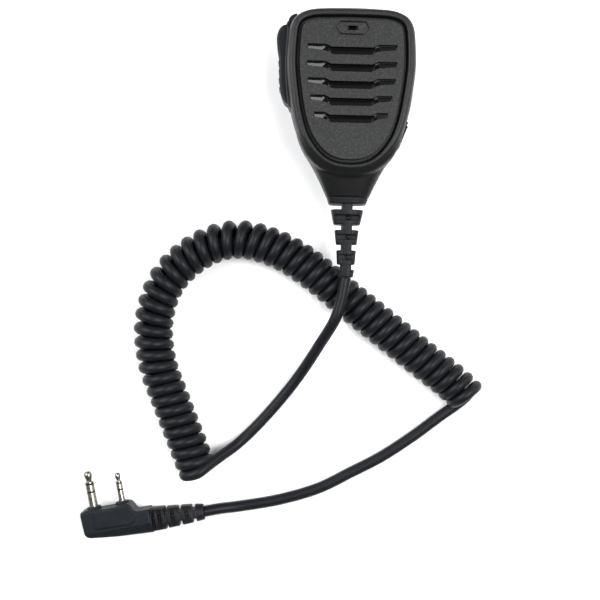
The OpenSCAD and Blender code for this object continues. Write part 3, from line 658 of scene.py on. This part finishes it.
def rear_shell(x, y, z):
    """The rear housing: its hollow, the posts for both kinds of screw, and the clip's boss."""
    body = body_half(x, y, z, back_heights, 4)
    shape = common(body, z - PARTING, 0.35)
    shape = common(shape, NECK_END - y, 0.5)
    shape = cut(shape, rounded([body + WALL, CAVITY_END - y], 0.0), 0.3)
    shape = joined(
        shape,
        posts(x, y, z, case_screw_places, 11, PARTING - 0.1, 3.2),
        posts(x, y, z, board_screw_places, 11, 17, 2.5),
        rod(x, y, z, 11, 16.4, 5),
    )
    shape = cut(shape, joined(
        posts(x, y, z, case_screw_places, 5, 13.1, 2.5),
        posts(x, y, z, case_screw_places, 5, 25, 1.45),
        posts(x, y, z, board_screw_places, 13.1, 18, 1),
        rod(x, y, z, 5, 15.7, 2.4),
    ), 0.3)
    return cut(shape, head_openings(x, y, z), 0.3)


moulding(
    "front_housing_shell", front_shell, (-26, -40.6, 20.6), (26, 35.4, 36), 0.36, "housing_plastic", "head",
    "front_housing",
)
moulding(
    "rear_housing_shell", rear_shell, (-26, -40.6, 9.6), (26, 35.4, 23.2), 0.36, "rear_plastic", "head",
    "rear_housing",
)

# ---- the grille ----

PANEL_TOP = 35.2
SLOT_TOP = 17.6
SLOT_PITCH = 6.48
slot_halves = [17.1, 17.2, 16.8, 15.7, 14.1]
hexagon = outline([(-4.4, 21.5), (4.4, 21.5), (6.3, 24), (4.9, 26.3), (-4.9, 26.3), (-6.3, 24)])


def slot_cut(x, y, z, number):
    """One louvre slot: its floor falls towards the middle, and a gutter runs under its upper edge."""
    length = slot_halves[number]
    v = y - SLOT_TOP + number * SLOT_PITCH
    plan = outline([
        (-length, 0), (-10.1, 0), (-8, -1.05), (8, -1.05), (10.1, 0), (length, 0), (length, -1.75),
        (10, -2.45), (7.3, -3.8), (-7.3, -3.8), (-10, -2.45), (-length, -1.75),
    ])(x, v)
    middle = np.clip((10 - np.abs(x)) / 2.2, 0, 1)
    drop = np.clip((-v - 1.05 * middle) / (2.1 + 0.6 * middle), 0, 1)
    inward = np.clip((length - np.abs(x)) / (length - 9), 0, 1)
    floor = 34.4 - 1.2 * inward + 0.35 * drop * (2 * middle - 1)
    floor = 33.4 + (floor - 33.4) * np.clip((drop - 0.2) / 0.08, 0, 1)
    opening = rounded([plan, floor - z], 0.0)
    slit = block(x, v, z, (-8.6, -1.9, 30), (8.6, -1.1, 40))
    return joined(opening, slit)


def grille(x, y, z):
    """The grille's plate: five slots, the sunk six-sided panel with its rim, and the mic's opening."""
    plate = rounded([panel_plan(x, y), between(z, 33, PANEL_TOP)], 0.3)
    slots = joined(*(slot_cut(x, y, z, number) for number in range(5)))
    plate = cut(plate, slots, 0.18)
    rim = np.abs(hexagon(x, y)) - 0.22
    plate = cut(plate, rounded([hexagon(x, y) - 0.05, PANEL_TOP - 0.2 - z], 0.0), 0.1)
    plate = cut(plate, rounded([rim, PANEL_TOP - 0.45 - z], 0.0), 0.1)
    return cut(plate, block(x, y, z, (-1.93, 23.1, 30), (1.93, 24.7, 40), 0.15), 0.1)


moulding(
    "grille_plate", grille, (-20.6, -26.8, 32.4), (20.6, 28.2, 35.9), (0.34, 0.19, 0.2), "grille_plastic",
    "head", "grille_panel",
)


def bands(sides, count):
    """The faces between rings of points, each ring joined to the next."""
    return [
        (sides * j + i, sides * j + (i + 1) % sides, sides * (j + 1) + (i + 1) % sides, sides * (j + 1) + i)
        for j in range(count)
        for i in range(sides)
    ]


# A domed felt disc in the mic's opening
FELT_R = 1.35
FELT_SIDES = 24
felt_rings = [(FELT_R, 31.9), (FELT_R, 32.15), (1.1, 32.28), (0.6, 32.34)]
felt_points = [
    (r * math.cos(a), MIC_Y + r * math.sin(a), z)
    for r, z in felt_rings
    for a in np.linspace(0, 2 * math.pi, FELT_SIDES, endpoint=False)
]
felt_ends = [tuple(reversed(range(FELT_SIDES))), tuple(range(3 * FELT_SIDES, 4 * FELT_SIDES))]
mesh_piece("mic_felt", felt_points, bands(FELT_SIDES, 3) + felt_ends, "cloth", "head")

# The cloth under the slots, slightly wavy
CLOTH_R = 16.9
CLOTH_SIDES = 48
cloth_points = [
    (r * math.cos(a), SPEAKER_Y + r * math.sin(a), 32.86 + 0.03 * math.cos(3 * a) * r / CLOTH_R)
    for r in (4.2, 8.4, 12.6, CLOTH_R)
    for a in np.linspace(0, 2 * math.pi, CLOTH_SIDES, endpoint=False)
]
cloth_faces = [(a, d, c, b) for a, b, c, d in bands(CLOTH_SIDES, 3)] + [tuple(range(CLOTH_SIDES))]
cloth = mesh_piece("grille_mesh", cloth_points, cloth_faces, "cloth", "head", "grille_cloth")
thicken = cloth.modifiers.new("thickness", "SOLIDIFY")
thicken.thickness = 0.25 * MM
thicken.offset = 1

# ---- push-to-talk ----


def curved(points, steps=3):
    """A stretch of an outline, made smooth."""
    return [tuple(p) for p in spline(np.array([(x, y, 0) for x, y in points]), steps)[:, :2]]


PTT_PIVOT = (-24.2, 26.8)
ptt_frame_plan = outline(curved([
    (-21.2, 30.8), (-22.4, 30.5), (-23.7, 29.7), (-24.6, 28), (-25.3, 22), (-25.7, 13), (-25.4, 5),
    (-24.7, -1.5), (-24, -4.6), (-23.1, -5.8), (-21.2, -5.8),
]))
ptt_button_plan = outline([(-22.9, 28.2), (-24.9, 28.2)] + curved([
    (-25.5, 26.8), (-26.4, 26.6), (-27.2, 26.1), (-28.2, 24.8), (-28.9, 22.6), (-29, 20.5), (-28.7, 17.5),
    (-28.1, 14.5), (-27.9, 11), (-27.7, 5), (-27.2, 1), (-26.4, -1.6), (-25.4, -3.3), (-24.4, -4),
]) + [(-22.9, -4)])


def ptt_frame(x, y, z):
    """The raised frame round the button, bored for the button's pivot."""
    shape = rounded([ptt_frame_plan(x, y), between(z, 15.4, 28.6)], 0.6)
    shape = cut(shape, block(x, y, z, (-40, -4.7, 16.7), (-10, 28.8, 27.3)), 0.25)
    return cut(shape, rod(x - PTT_PIVOT[0], y - PTT_PIVOT[1], z, 5, 40, 1.06), 0.05)


def ptt_button(x, y, z):
    """The button: its hump and four ribs, the pivot at its top end, and the stud behind it."""
    shape = rounded([ptt_button_plan(x, y), between(z, 17, 27)], 0.9)
    for rib_x, rib_y in ((-27.5, 12.2), (-27.3, 8.9), (-27.25, 5.6), (-26.95, 2.1)):
        shape = smooth_min(shape, rod(x - rib_x, y - rib_y, z, 17.8, 26.2, 0.75, 0.5), 0.3)
    return joined(
        shape,
        rod(x - PTT_PIVOT[0], y - PTT_PIVOT[1], z, 15.7, 28.3, 1, 0.2),
        rod(y - 6.8, z - 22, x, -23.5, -21.1, 1.8, 0.2),
    )


moulding(
    "ptt_bezel", ptt_frame, (-26.6, -6.6, 14.6), (-20.5, 31.6, 29.4), 0.3, "housing_plastic", "head",
    "ptt_frame",
)
moulding(
    "ptt_bar", ptt_button, (-29.6, -4.8, 15), (-20.6, 29, 29), 0.27, "button_plastic", "ptt_button",
    "ptt_button",
)

# ---- the earphone jack's cover ----


def jack_cover(u, v, w):
    """The rubber flap: it thins at one end, hangs on a strap, and has a stub that fills the jack."""
    top = 0.9 - 0.95 * np.clip((-2.6 - v) / 3.2, 0, 1) ** 1.5 - 0.012 * w**2
    flat = rounded([between(v, -5.8, 4.6), between(w, -4.5, 4.5)], 1.1)
    shape = rounded([flat, u - top, -0.4 - u], 0.25)
    strap = block(u, v, w, (-0.2, 4.2, -3.2), (0.75, 5.3, 3.2), 0.2)
    strap = joined(strap, rod(u - 0.35, v - 5.3, w, -3.2, 3.2, 0.55, 0.15))
    return joined(smooth_min(shape, strap, 0.3), rod(v, w, u, -2.2, 0, 1.6, 0.35))


def cover_root(u, v, w):
    """The strap's root, held between the housings."""
    return block(u, v, w, (-2.4, 6.35, -2.5), (0.4, 7.5, 2.5), 0.35)


jack_at = (JACK_SPOT, JACK_TURN)
moulding(
    "jack_cover_flap", jack_cover, (-2.8, -6.4, -5), (1.5, 6.5, 5), 0.17, "rubber", "jack_cover",
    "jack_cover", at=jack_at,
)
moulding(
    "jack_cover_anchor", cover_root, (-3, 5.9, -3), (1, 8, 3), 0.15, "rubber", "head",
    "jack_cover_root", at=jack_at,
)

# ---- strain reliefs ----


def tapered(across, along, z, a, b, power, r):
    """A piece of a relief with oval sections; a and b are (place along, half width, half height)."""
    t = np.clip((a[0] - along) / (a[0] - b[0]), 0, 1)
    width, height = a[1] + (b[1] - a[1]) * t, a[2] + (b[2] - a[2]) * t
    q = ((np.abs(across) / width) ** power + (np.abs(z) / height) ** power) ** (1 / power)
    side = np.hypot(across, z) * (1 - 1 / np.maximum(q, 0.05))
    return rounded([side, between(along, b[0], a[0])], r)


def relief_slots(shape, across, along, z, slots, floor, bead):
    """Cuts each slot (start, end, half width) into the front and back, with a bead standing in it."""
    deep = np.abs(z)
    for start, end, half in slots:
        shape = cut(shape, block(across, along, deep, (-half, end, floor), (half, start, 12), 0.15), 0.15)
        centre = (start + end) / 2
        ball = np.sqrt((across - 0.7) ** 2 + (along - centre) ** 2 + (deep - floor - 0.7) ** 2) - bead
        shape = smooth_min(shape, ball, 0.15)
    return shape


def head_relief(x, y, z):
    """The relief at the head: a flange inside the neck, a collar, three slotted segments and an end ring."""
    w = z - 20
    shape = joined(
        block(x, y, w, (-5.6, -37.4, -4.4), (5.6, -35.4, 4.4), 0.3),
        block(x, y, w, (-4.6, -39.9, -4.6), (4.6, -37, 4.6)),
        tapered(x, y, w, (-39.65, 8.1, 7.3), (-42.1, 7.3, 6.6), 3.4, 0.35),
    )
    shape = smooth_min(shape, tapered(x, y, w, (-41, 2, 6.4), (-70.4, 2, 2.9), 6, 0.3), 0.3)
    for a, b, power in (
        ((-44.3, 6.4, 6), (-50.1, 5.2, 5.2), 3),
        ((-52.2, 4.8, 4.7), (-57.9, 4.1, 4.2), 3),
        ((-60.1, 3.9, 3.9), (-65.7, 3.5, 3.5), 3),
        ((-67.7, 3.4, 3.4), (-70.7, 2.9, 2.9), 2.2),
    ):
        shape = smooth_min(shape, tapered(x, y, w, a, b, power, 0.35), 0.3)
    shape = relief_slots(
        shape, x, y, w, ((-46.4, -48.5, 4.9), (-54, -56, 3.8), (-61.9, -64, 3.1)), 2.75, 0.95
    )
    return cut(shape, rod(x, w, y, -80, -30, 2.25), 0.1)


def plug_relief(x, y, z):
    """The relief at the plug, along its own X: three slotted segments and an end ring."""
    shape = rod(y, z, x, 0, 18.4, 2.35)
    shape = smooth_min(shape, tapered(y, -x, z, (0, 2, 4.6), (-18, 2, 3.6), 6, 0.2), 0.2)
    for a, b, power in (
        ((0.6, 4.9, 4.9), (-5.5, 4.6, 4.7), 3),
        ((-6.5, 4.4, 4.5), (-10.9, 4.1, 4.2), 3),
        ((-12.2, 4, 4.1), (-16.4, 3.7, 3.8), 3),
        ((-17.9, 3.6, 3.6), (-21.1, 3.2, 3.2), 2.2),
    ):
        shape = smooth_min(shape, tapered(y, -x, z, a, b, power, 0.3), 0.25)
    slots = ((-0.2, -1.4, 3.9), (-2.6, -4.2, 3.8), (-7.9, -9.4, 3.5), (-13.6, -15, 3.1))
    shape = relief_slots(shape, y, -x, z, slots, 2.6, 0.7)
    return cut(shape, rod(y, z, x, 18.4, 30, 2.25), 0.1)


moulding(
    "head_strain_relief", head_relief, (-8.8, -71.4, 12), (8.8, -34.8, 28), 0.25, "relief_rubber", "head",
    "strain_relief",
)
PLUG_SPOT = (-75.6, -170.4, 5.6)
moulding(
    "plug_strain_relief", plug_relief, (-1.2, -5.4, -5.4), (21.8, 5.4, 5.4), 0.2, "relief_rubber", "head",
    "plug_relief", at=(PLUG_SPOT, 9.5),
)

# ---- the plug ----

PLUG_TURN = 12
COLLAR_TOP = 9.5
# Each pin's name, place along the plug, radius and length
PINS = (("big", -22.6, 1.75, 14.5), ("small", -10.8, 1.25, 11.7))
shell_plan = outline([
    (0, 4.9), (-4.9, 5), (-6, 5.6), (-6.7, 7.1), (-7.4, 8.3), (-8.4, 8.8), (-13.4, 8.3), (-19.6, 8.2),
    (-25.2, 8.9), (-27.5, 8.3), (-27.8, 7.2), (-27.5, -0.6), (-26.8, -1.9), (-25.3, -2.6),
    (-14.4, -3.9), (0, -4.9),
])
raised_plan = outline([
    (-7.4, 9.5), (-22.2, 9.8), (-22.2, 1.2), (-8.6, 0.6), (-6.6, 1.6), (-5.7, 3.6), (-6.2, 6.6),
])


def plug_shell(x, y, z):
    """The plug's body: its raised panel, its lower front, and a collar round each pin."""
    off = raised_plan(x, y)
    top = 5.8 - 0.45 * np.clip(off / 0.6, 0, 1) - 0.42 * np.maximum(-0.6 - y, 0)
    shape = rounded([shell_plan(x, y), z - top, -5.3 - z], 0.9)
    for _, pin_x, radius, _ in PINS:
        shape = smooth_min(shape, rod(x - pin_x, z, y, 3, COLLAR_TOP, 2.9, 0.4), 0.25)
        shape = cut(shape, rod(x - pin_x, z, y, 1, 30, 0.82 * radius), 0.08)
    return cut(shape, rod(y, z, x, -5.5, 2, 2.35), 0.1)


plug_at = (PLUG_SPOT, PLUG_TURN)
moulding(
    "plug_body", plug_shell, (-28.8, -6, -6), (0.8, 10.2, 6.6), 0.22, "plug_plastic", "head",
    "plug_shell", at=plug_at,
)


def lathed(name, pin_x, profile, slot, node):
    """A piece turned about a pin's axis, from its closed profile of radius and distance past the collar."""
    sides = 40
    least = 0.002
    flat, heights = [], []
    for r, d in profile:
        for k in range(sides):
            a = 2 * math.pi * k / sides
            flat.append((pin_x + max(r, least) * math.cos(a), COLLAR_TOP + d))
            heights.append(max(r, least) * math.sin(a))
    x, y = turned(*np.array(flat).T, (0, 0), -PLUG_TURN)
    points = np.stack([x + PLUG_SPOT[0], y + PLUG_SPOT[1], np.array(heights) + PLUG_SPOT[2]], axis=1)
    count = len(profile)
    faces = []
    for j in range(count):
        here, there = j * sides, (j + 1) % count * sides
        for k in range(sides):
            after = (k + 1) % sides
            faces.append((here + k, here + after, there + after, there + k))
    piece = mesh_piece(name, [tuple(p) for p in points], faces, slot, "head", node)
    shape = bmesh.new()
    shape.from_mesh(piece.data)
    bmesh.ops.remove_doubles(shape, verts=shape.verts, dist=0.001 * MM)
    bmesh.ops.recalc_face_normals(shape, faces=shape.faces)
    shape.to_mesh(piece.data)
    shape.free()
    piece.data.set_sharp_from_angle(angle=math.radians(32))
    return piece


BEVEL = 0.07
for which, pin_x, r, length in PINS:
    # Each point is (share of the radius, share of the length or else millimetres behind the collar,
    # how many bevels further along)
    stretches = {
        "sleeve": [
            (0.64, -4, 0), (0.8, -4, 0), (0.8, 0, 0), (1, 0, 0), (1, 0.39, -1), (0.95, 0.39, 0),
            (0.64, 0.39, 0),
        ],
        "ring": [
            (0.42, -5, 0), (0.54, -5, 0), (0.54, 0.43, 0), (0.95, 0.43, 0), (1, 0.43, 1), (1, 0.615, -1),
            (0.95, 0.615, 0), (0.42, 0.615, 0),
        ],
        "tip": [
            (0, -6, 0), (0.32, -6, 0), (0.32, 0.655, 0), (0.95, 0.655, 0), (1, 0.655, 1), (1, 0.69, 0),
            (0.9, 0.7, 0), (0.7, 0.712, 0), (0.64, 0.725, 0), (0.66, 0.75, 0), (0.75, 0.785, 0),
            (0.86, 0.825, 0), (0.94, 0.865, 0), (0.95, 0.9, 0), (0.9, 0.935, 0),
            (0.78, 0.965, 0), (0.6, 0.987, 0), (0.4, 0.998, 0), (0, 1, 0),
        ],
    }
    for part, profile in stretches.items():
        lathed(
            f"{which}_plug_{part}", pin_x,
            [(share * r, (at * length if at > 0 else at) + edge * BEVEL) for share, at, edge in profile],
            "pin_nickel", f"{which}_pin_{part}",
        )
    rings_cut = [
        [
            (0.32, -5.5), (0.42, -5.5), (0.42, 0.615), (0.96, 0.615), (0.97, 0.635), (0.96, 0.655),
            (0.32, 0.655),
        ],
        [(0.54, -4.5), (0.64, -4.5), (0.64, 0.39), (0.96, 0.39), (0.97, 0.41), (0.96, 0.43), (0.54, 0.43)],
    ]
    for number, profile in enumerate(rings_cut):
        lathed(
            f"{which}_plug_insulator_{number + 1}", pin_x,
            [(share * r, at * length if at > 0 else at) for share, at in profile], "pin_insulator",
            f"{which}_pin_insulators",
        )

# ---- the belt clip ----

CLIP_Y, CLIP_Z = 14, 5.4


def clip_ears(x, y, z, ear_x, plate_z):
    """A pair of ears about the hinge pin, each joined to the plate at plate_z."""
    low, high = min(plate_z, CLIP_Z), max(plate_z, CLIP_Z)
    side = np.abs(x)
    return joined(
        rod(y - CLIP_Y, z - CLIP_Z, side, ear_x - 0.7, ear_x + 0.7, 2.6, 0.2),
        block(side, y, z, (ear_x - 0.7, CLIP_Y - 2.6, low), (ear_x + 0.7, CLIP_Y + 2.6, high), 0.2),
    )


def plate(x, y, z, half, low_y, high_y, low_z, high_z, r):
    """A flat plate with round corners, half wide on each side."""
    flat = rounded([between(x, -half, half), between(y, low_y, high_y)], 4)
    return rounded([flat, between(z, low_z, high_z)], r)


def clip_base(x, y, z):
    """The clip's plate against the head: a disc round the swivel screw, two grooves and two ears."""
    shape = joined(plate(x, y, z, 8.2, -21.5, 19, 8.4, 9.9, 0.35), rod(x, y, z, 8.4, 9.9, 10, 0.35))
    for rib_x in (-4.6, 4.6):
        shape = cut(shape, block(x, y, z, (rib_x - 0.5, -19, 7), (rib_x + 0.5, -11.5, 8.7), 0.2), 0.1)
    shape = smooth_min(shape, clip_ears(x, y, z, 7.5, 8.9), 0.4)
    shape = cut(shape, rod(x, y, z, 5, 12, 3.01), 0.15)
    return cut(shape, rod(y - CLIP_Y, z - CLIP_Z, x, -12, 12, 1.2), 0.1)


def clip_jaw(x, y, z):
    """The clip's jaw: a hook at its tip, three ribs to press on, and two ears inside the plate's."""
    shape = plate(x, y, z, 8.5, -22, 24, 0, 1.8, 0.4)
    hook = block(x, y, z, (-4.5, -22, 0.5), (4.5, -20.2, 8.1), 0.35)
    shape = smooth_min(shape, hook, 0.8)
    for y_rib in (19.2, 21, 22.8):
        rib = block(x, y, z, (-5.5, y_rib - 0.3, 1.2), (5.5, y_rib + 0.3, 2.2), 0.2)
        shape = smooth_min(shape, rib, 0.25)
    shape = smooth_min(shape, clip_ears(x, y, z, 5.6, 1.3), 0.4)
    return cut(shape, rod(y - CLIP_Y, z - CLIP_Z, x, -12, 12, 1.26), 0.1)


moulding(
    "clip_back_plate", clip_base, (-10.8, -22.2, 2.2), (10.8, 20, 10.6), 0.27, "rear_plastic", "clip_base",
    "clip_base",
)
moulding(
    "clip_front_jaw", clip_jaw, (-9.2, -22.8, -0.6), (9.2, 24.8, 9), 0.27, "rear_plastic", "clip_jaw",
    "clip_jaw",
)

WIRE_R = 0.35
COIL_R = 1.95
SPRING_TURNS = 11
SPRING_STEPS = 24  # points a turn
SPRING_LENGTH = 7.7
spring_line = [
    (
        -SPRING_LENGTH / 2 + SPRING_LENGTH * k / (SPRING_TURNS * SPRING_STEPS),
        CLIP_Y + COIL_R * math.cos(a),
        CLIP_Z + COIL_R * math.sin(a),
    )
    for k in range(SPRING_TURNS * SPRING_STEPS + 13)
    for a in [math.radians(360 / SPRING_STEPS * k - 60)]
]
# The spring keeps its rest shape when the jaw opens
first, last = np.array(spring_line[0]), np.array(spring_line[-1])
leg_up = [first + np.array((0, -t * 0.87, 0)) for t in (4.2, 3.2, 2.2, 1.1)]
leg_down = [last + np.array((0, -t, -0.12 * t)) for t in (1.1, 2.4, 3.8, 5.2)]
spring_wire = np.array(leg_up + [np.array(p) for p in spring_line] + leg_down)
spring = curve_object("clip_torsion_spring", spring_wire, WIRE_R, FINISH["steel"], 2)
settled(spring, "steel", "clip_base", "clip_spring")


# ---- the cord ----

cord_line = cord_points()
cord = curve_object("cord", cord_line, CORD_D / 2, FINISH["cord_jacket"])
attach(cord, "head")
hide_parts("mic_tail", "curl", "plug_tail")


# ---- floor, lights and camera ----

paper = finish("pale_paper", (0.86, 0.86, 0.86), 0.8, grain=0.5, depth=0.02, patch=0.004, speckle=0, wear=0)
floor_mesh = bpy.data.meshes.new("floor")
FLOOR = 1.5
floor_mesh.from_pydata(
    [(-FLOOR, -FLOOR, 0), (FLOOR, -FLOOR, 0), (FLOOR, FLOOR, 0), (-FLOOR, FLOOR, 0)], [], [(0, 1, 2, 3)]
)
floor_mesh.materials.append(paper)
floor = bpy.data.objects.new("floor", floor_mesh)
bpy.context.scene.collection.objects.link(floor)


def softbox(name, place, aim, size, power, tint=(1, 1, 1)):
    """A square area light in metres and watts, aimed at a point."""
    data = bpy.data.lights.new(name, "AREA")
    data.size = size
    data.energy = power
    data.color = tint
    light = bpy.data.objects.new(name, data)
    light.location = place
    light.rotation_euler = (Vector(aim) - Vector(place)).to_track_quat("-Z", "Y").to_euler()
    bpy.context.scene.collection.objects.link(light)


MIDDLE = (-0.02, -0.08, 0)
softbox("key", (0.4, -0.12, 1.0), MIDDLE, 0.5, 12.5)
softbox("fill", (-0.8, 0.2, 0.8), MIDDLE, 0.9, 19, (0.985, 0.99, 1))
softbox("side", (0.8, 0.3, 0.5), MIDDLE, 0.9, 7)

world = bpy.data.worlds.new("studio")
world.use_nodes = True
world.node_tree.nodes["Background"].inputs["Color"].default_value = (1, 1, 1, 1)
world.node_tree.nodes["Background"].inputs["Strength"].default_value = 0.2
bpy.context.scene.world = world
bpy.context.scene.view_settings.view_transform = "Standard"

lens = bpy.data.cameras.new("camera")
lens.lens = 65.5
lens.sensor_width = 36
lens.clip_start = 0.01
camera = bpy.data.objects.new("camera", lens)
camera.location = (-0.0177, -0.080, 0.450)
camera.rotation_euler = (0, 0, math.radians(1.3))
bpy.context.scene.collection.objects.link(camera)
bpy.context.scene.camera = camera
